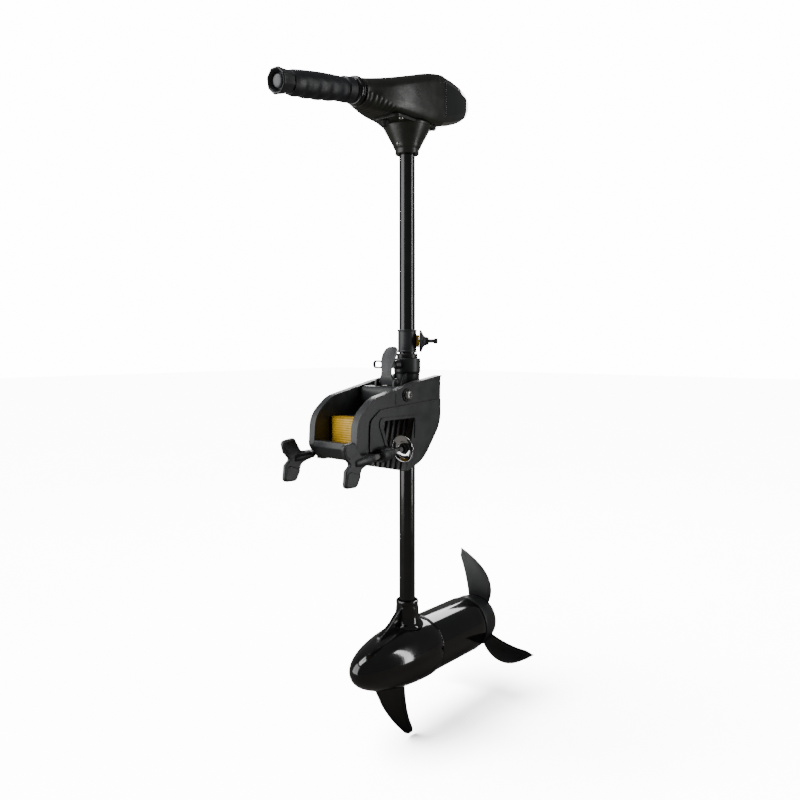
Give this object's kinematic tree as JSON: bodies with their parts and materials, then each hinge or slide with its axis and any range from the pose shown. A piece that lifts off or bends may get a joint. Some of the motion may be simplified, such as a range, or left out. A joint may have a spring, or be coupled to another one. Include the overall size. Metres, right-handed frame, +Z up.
{
  "type": "trolling motor",
  "caption": "Electric outboard for small boats: tiller head on a tube, tilting transom clamp bracket and an underwater motor pod with a swept propeller.",
  "frame": {"origin": "underside of the bracket's saddle, midway between the cheeks, where the bracket rests on a boat's transom", "axes": "+Z up along the tube; +Y towards the propeller; -Y towards the tiller's free end and the clamp wings; +X to starboard of the prop side"},
  "size_m": [0.2112, 0.4815, 1.052],
  "materials": {
    "satin": "satin charcoal glass-filled plastic, slightly grained",
    "head": "satin dark olive-black plastic",
    "gloss_paint": "gloss black paint",
    "panel": "high-gloss smoked plastic",
    "rubber": "soft-touch black rubber",
    "button": "grey moulded plastic",
    "prop": "dark grey filled nylon",
    "yellow": "yellow-ochre moulded plastic",
    "chrome": "bright chrome plate",
    "steel": "plain stainless steel",
    "nylon": "off-white nylon",
    "copper": "bare and enamelled copper",
    "carbon": "carbon and black phenolic",
    "ferrite": "dark sintered ferrite",
    "board": "glass-epoxy board"
  },
  "bodies": {
    "bracket": {"cheek_left": "satin", "cheek_right": "satin", "front_bridge": "satin", "transom_saddle": "satin", "ribbed_bumper": "yellow", "pivot_bolt": "steel", "pivot_nut": "steel"},
    "clamp_feed_left": {"clamp_pad_left": "chrome"},
    "clamp_turn_left": {"clamp_screw_left": "chrome", "clamp_wing_left": "satin"},
    "clamp_feed_right": {"clamp_pad_right": "chrome"},
    "clamp_turn_right": {"clamp_screw_right": "chrome", "clamp_wing_right": "satin"},
    "swivel": {"swivel_block": "satin", "upper_bushing": "nylon", "lower_bushing": "nylon", "lever_pin": "steel"},
    "lever": {"tilt_lever": "satin"},
    "lock": {"lock_pin": "steel"},
    "tension": {"tension_knob": "satin"},
    "collar": {"depth_collar": "satin", "collar_insert": "yellow"},
    "collar_clamp": {"collar_knob": "satin", "collar_screw": "steel"},
    "column": {"shaft_tube": "gloss_paint", "head_cover": "head", "meter_panel": "panel", "meter_board": "board", "head_base": "head", "head_screw_front": "steel", "head_screw_rear": "steel", "neck_screw": "steel", "cable_gland": "rubber", "motor_cable": "rubber", "speed_switch": "carbon", "tiller_bush": "satin", "front_housing": "gloss_paint", "rear_housing": "gloss_paint", "housing_seal": "rubber", "front_bearing": "steel", "rear_bearing": "steel", "shaft_seal": "rubber", "brush_plate": "board", "magnet_upper": "ferrite", "magnet_lower": "ferrite", "brush_left": "carbon", "brush_right": "carbon"},
    "tiller": {"tiller_arm": "steel"},
    "grip": {"grip": "rubber", "grip_end": "satin"},
    "button": {"end_button": "button"},
    "selector": {"switch_rod": "steel"},
    "rotor": {"rotor_shaft": "steel", "armature": "copper", "commutator": "copper", "drive_pin": "steel", "prop_nut": "steel", "propeller": "prop"}
  },
  "joints": [
    {"name": "clamp_feed_left", "type": "slide", "parent": "bracket", "child": "clamp_feed_left", "axis": [0, 0.9954, 0.0958], "range_m": [-0.008, 0.015]},
    {"name": "clamp_turn_left", "type": "hinge", "parent": "clamp_feed_left", "child": "clamp_turn_left", "pos_m": [-0.0535, -0.00794, -0.04304], "axis": [0, 0.9954, 0.0958], "range_deg": [-1445, 2705]},
    {"name": "clamp_feed_right", "type": "slide", "parent": "bracket", "child": "clamp_feed_right", "axis": [0, 0.9954, 0.0958], "range_m": [-0.022, 0.0015]},
    {"name": "clamp_turn_right", "type": "hinge", "parent": "clamp_feed_right", "child": "clamp_turn_right", "pos_m": [0.0535, 0.006, -0.0417], "axis": [0, 0.9954, 0.0958], "range_deg": [-3965, 275]},
    {"name": "tilt", "type": "hinge", "parent": "bracket", "child": "swivel", "pos_m": [0, 0.02, 0.035], "axis": [1, 0, 0], "range_deg": [0, 80]},
    {"name": "tilt_lever", "type": "hinge", "parent": "swivel", "child": "lever", "pos_m": [0, 0.028, 0.053], "axis": [1, 0, 0], "range_deg": [0, 14.05]},
    {"name": "lock_pin", "type": "slide", "parent": "swivel", "child": "lock", "axis": [0, -0.4067, 0.9135], "range_m": [0, 0.007]},
    {"name": "steering_tension", "type": "hinge", "parent": "swivel", "child": "tension", "pos_m": [0, 0.0534, 0.079], "axis": [0, 1, 0], "range_deg": [-18, 30]},
    {"name": "steer", "type": "hinge", "parent": "swivel", "child": "collar", "pos_m": [0, 0.075, 0.1], "axis": [0, 0, 1], "continuous": true},
    {"name": "collar_knob", "type": "hinge", "parent": "collar", "child": "collar_clamp", "pos_m": [0, 0.075, 0.116], "axis": [0.7604, 0.6494, 0], "range_deg": [-360, 360]},
    {"name": "depth", "type": "slide", "parent": "collar", "child": "column", "axis": [0, 0, 1], "range_m": [-0.27, 0.15]},
    {"name": "tiller_extension", "type": "slide", "parent": "column", "child": "tiller", "axis": [0, -0.9863, -0.165], "range_m": [0, 0.11]},
    {"name": "speed_grip", "type": "hinge", "parent": "tiller", "child": "grip", "pos_m": [0, 0.004, 0.4905], "axis": [0, -0.9863, -0.165], "range_deg": [-60, 100]},
    {"name": "end_button", "type": "slide", "parent": "grip", "child": "button", "axis": [0, 0.9863, 0.165], "range_m": [0, 0.003], "stiffness_N_per_m": 600, "springref_m": -0.002},
    {"name": "speed_selector", "type": "hinge", "parent": "column", "child": "selector", "pos_m": [0, 0.004, 0.4905], "axis": [0, -0.9863, -0.165], "range_deg": [-61, 101]},
    {"name": "rotor", "type": "hinge", "parent": "column", "child": "rotor", "pos_m": [0, 0.2, -0.3755], "axis": [0, 1, 0], "continuous": true}
  ],
  "couplings": [
    {"joint": "clamp_turn_left", "follows": "clamp_feed_left", "rad_per_m": 3141.6},
    {"joint": "clamp_turn_right", "follows": "clamp_feed_right", "rad_per_m": 3141.6},
    {"joint": "tilt_lever", "follows": "lock_pin", "rad_per_m": 34.907},
    {"joint": "speed_selector", "follows": "speed_grip", "ratio": 1}
  ]
}
